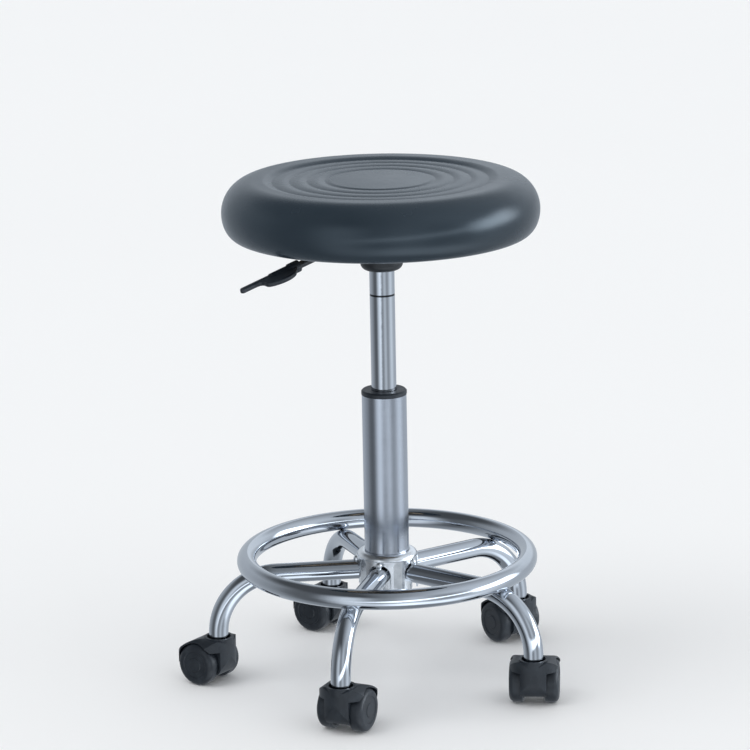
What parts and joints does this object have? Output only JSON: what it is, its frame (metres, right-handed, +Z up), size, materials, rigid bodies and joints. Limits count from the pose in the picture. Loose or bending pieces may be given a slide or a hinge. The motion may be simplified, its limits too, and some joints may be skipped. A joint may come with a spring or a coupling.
{
  "type": "dental stool",
  "caption": "Height-adjustable round stool with a ringed moulded seat, gas lift, side release lever, foot ring and swivelling twin-wheel castors.",
  "frame": {"origin": "on the floor, on the axis of the column", "axes": "+Z up along the column; -Y out along leg 1, which is the front leg; the release lever points to the front left, between -X and -Y"},
  "size_m": [0.4382, 0.4071, 0.575],
  "materials": {
    "chrome": "polished",
    "column_steel": "satin",
    "hub_metal": "satin",
    "bare_steel": "satin",
    "black_nylon": "satin",
    "black_paint": "satin",
    "rubber": "matte",
    "brass": "satin",
    "aluminium": "satin",
    "zinc": "satin",
    "plywood": "matte",
    "seat_skin": "satin"
  },
  "bodies": {
    "base": {"hub_cup": "hub_metal", "hub_sleeve": "hub_metal", "hub_welds": "hub_metal", "leg_1": "chrome", "leg_2": "chrome", "leg_3": "chrome", "leg_4": "chrome", "leg_5": "chrome", "foot_ring": "chrome", "column_tube": "column_steel", "column_end_plate": "bare_steel", "guide_bush": "black_nylon", "bearing_lower_washer": "bare_steel", "leg_sockets": "black_nylon", "castor_stems": "bare_steel"},
    "gas_rod": {"piston_rod": "chrome", "piston": "black_nylon", "piston_seal": "rubber", "bearing_balls": "bare_steel", "bearing_upper_washer": "bare_steel", "stop_buffer": "rubber", "rod_clip": "bare_steel"},
    "seat": {"gas_cylinder": "chrome", "cylinder_gland": "aluminium", "release_valve": "brass", "seat_socket": "black_paint", "mechanism_plate": "black_paint", "lever_pivot_pin": "bare_steel", "seat_screws": "zinc", "t_nuts": "zinc", "seat_board": "plywood", "seat_cushion": "seat_skin"},
    "lever": {"lever_rod": "black_paint", "lever_handle": "black_nylon"},
    "release_pin": {"release_pin": "bare_steel"},
    "castor_1": {"castor_hood_1": "black_nylon", "castor_axle_1": "bare_steel"},
    "wheel_left_1": {"castor_wheel_left_1": "black_nylon"},
    "wheel_right_1": {"castor_wheel_right_1": "black_nylon"},
    "castor_2": {"castor_hood_2": "black_nylon", "castor_axle_2": "bare_steel"},
    "wheel_left_2": {"castor_wheel_left_2": "black_nylon"},
    "wheel_right_2": {"castor_wheel_right_2": "black_nylon"},
    "castor_3": {"castor_hood_3": "black_nylon", "castor_axle_3": "bare_steel"},
    "wheel_left_3": {"castor_wheel_left_3": "black_nylon"},
    "wheel_right_3": {"castor_wheel_right_3": "black_nylon"},
    "castor_4": {"castor_hood_4": "black_nylon", "castor_axle_4": "bare_steel"},
    "wheel_left_4": {"castor_wheel_left_4": "black_nylon"},
    "wheel_right_4": {"castor_wheel_right_4": "black_nylon"},
    "castor_5": {"castor_hood_5": "black_nylon", "castor_axle_5": "bare_steel"},
    "wheel_left_5": {"castor_wheel_left_5": "black_nylon"},
    "wheel_right_5": {"castor_wheel_right_5": "black_nylon"}
  },
  "joints": [
    {"name": "seat_swivel", "type": "hinge", "parent": "base", "child": "gas_rod", "pos_m": [0, 0, 0.11], "axis": [0, 0, 1], "continuous": true},
    {"name": "seat_height", "type": "slide", "parent": "gas_rod", "child": "seat", "axis": [0, 0, 1], "range_m": [-0.13, 0]},
    {"name": "height_lever", "type": "hinge", "parent": "seat", "child": "lever", "pos_m": [-0.02237, -0.03316, 0.507], "axis": [-0.829, 0.5592, 0], "range_deg": [0, 6], "stiffness_Nm_per_rad": 2, "springref_deg": -17.19},
    {"name": "release_pin_travel", "type": "slide", "parent": "seat", "child": "release_pin", "axis": [0, 0, -1], "range_m": [0, 0.0043], "stiffness_N_per_m": 300, "springref_m": -0.003},
    {"name": "castor_swivel_1", "type": "hinge", "parent": "base", "child": "castor_1", "pos_m": [0, -0.1916, 0.045], "axis": [0, 0, 1], "continuous": true},
    {"name": "wheel_roll_left_1", "type": "hinge", "parent": "castor_1", "child": "wheel_left_1", "pos_m": [0.00237, -0.17679, 0.024], "axis": [-0.9874, 0.1582, 0], "continuous": true},
    {"name": "wheel_roll_right_1", "type": "hinge", "parent": "castor_1", "child": "wheel_right_1", "pos_m": [0.00237, -0.17679, 0.024], "axis": [-0.9874, 0.1582, 0], "continuous": true},
    {"name": "castor_swivel_2", "type": "hinge", "parent": "base", "child": "castor_2", "pos_m": [0.18222, -0.05921, 0.045], "axis": [0, 0, 1], "continuous": true},
    {"name": "wheel_roll_left_2", "type": "hinge", "parent": "castor_2", "child": "wheel_left_2", "pos_m": [0.17962, -0.04444, 0.024], "axis": [-0.9848, -0.1736, 0], "continuous": true},
    {"name": "wheel_roll_right_2", "type": "hinge", "parent": "castor_2", "child": "wheel_right_2", "pos_m": [0.17962, -0.04444, 0.024], "axis": [-0.9848, -0.1736, 0], "continuous": true},
    {"name": "castor_swivel_3", "type": "hinge", "parent": "base", "child": "castor_3", "pos_m": [0.11262, 0.15501, 0.045], "axis": [0, 0, 1], "continuous": true},
    {"name": "wheel_roll_left_3", "type": "hinge", "parent": "castor_3", "child": "wheel_left_3", "pos_m": [0.10121, 0.16475, 0.024], "axis": [-0.6494, -0.7604, 0], "continuous": true},
    {"name": "wheel_roll_right_3", "type": "hinge", "parent": "castor_3", "child": "wheel_right_3", "pos_m": [0.10121, 0.16475, 0.024], "axis": [-0.6494, -0.7604, 0], "continuous": true},
    {"name": "castor_swivel_4", "type": "hinge", "parent": "base", "child": "castor_4", "pos_m": [-0.11262, 0.15501, 0.045], "axis": [0, 0, 1], "continuous": true},
    {"name": "wheel_roll_left_4", "type": "hinge", "parent": "castor_4", "child": "wheel_left_4", "pos_m": [-0.12676, 0.16001, 0.024], "axis": [-0.3338, -0.9426, 0], "continuous": true},
    {"name": "wheel_roll_right_4", "type": "hinge", "parent": "castor_4", "child": "wheel_right_4", "pos_m": [-0.12676, 0.16001, 0.024], "axis": [-0.3338, -0.9426, 0], "continuous": true},
    {"name": "castor_swivel_5", "type": "hinge", "parent": "base", "child": "castor_5", "pos_m": [-0.18222, -0.05921, 0.045], "axis": [0, 0, 1], "continuous": true},
    {"name": "wheel_roll_left_5", "type": "hinge", "parent": "castor_5", "child": "wheel_left_5", "pos_m": [-0.19637, -0.05423, 0.024], "axis": [-0.3322, -0.9432, 0], "continuous": true},
    {"name": "wheel_roll_right_5", "type": "hinge", "parent": "castor_5", "child": "wheel_right_5", "pos_m": [-0.19637, -0.05423, 0.024], "axis": [-0.3322, -0.9432, 0], "continuous": true}
  ],
  "couplings": [
    {"joint": "release_pin_travel", "follows": "height_lever", "m_per_rad": 0.04}
  ]
}
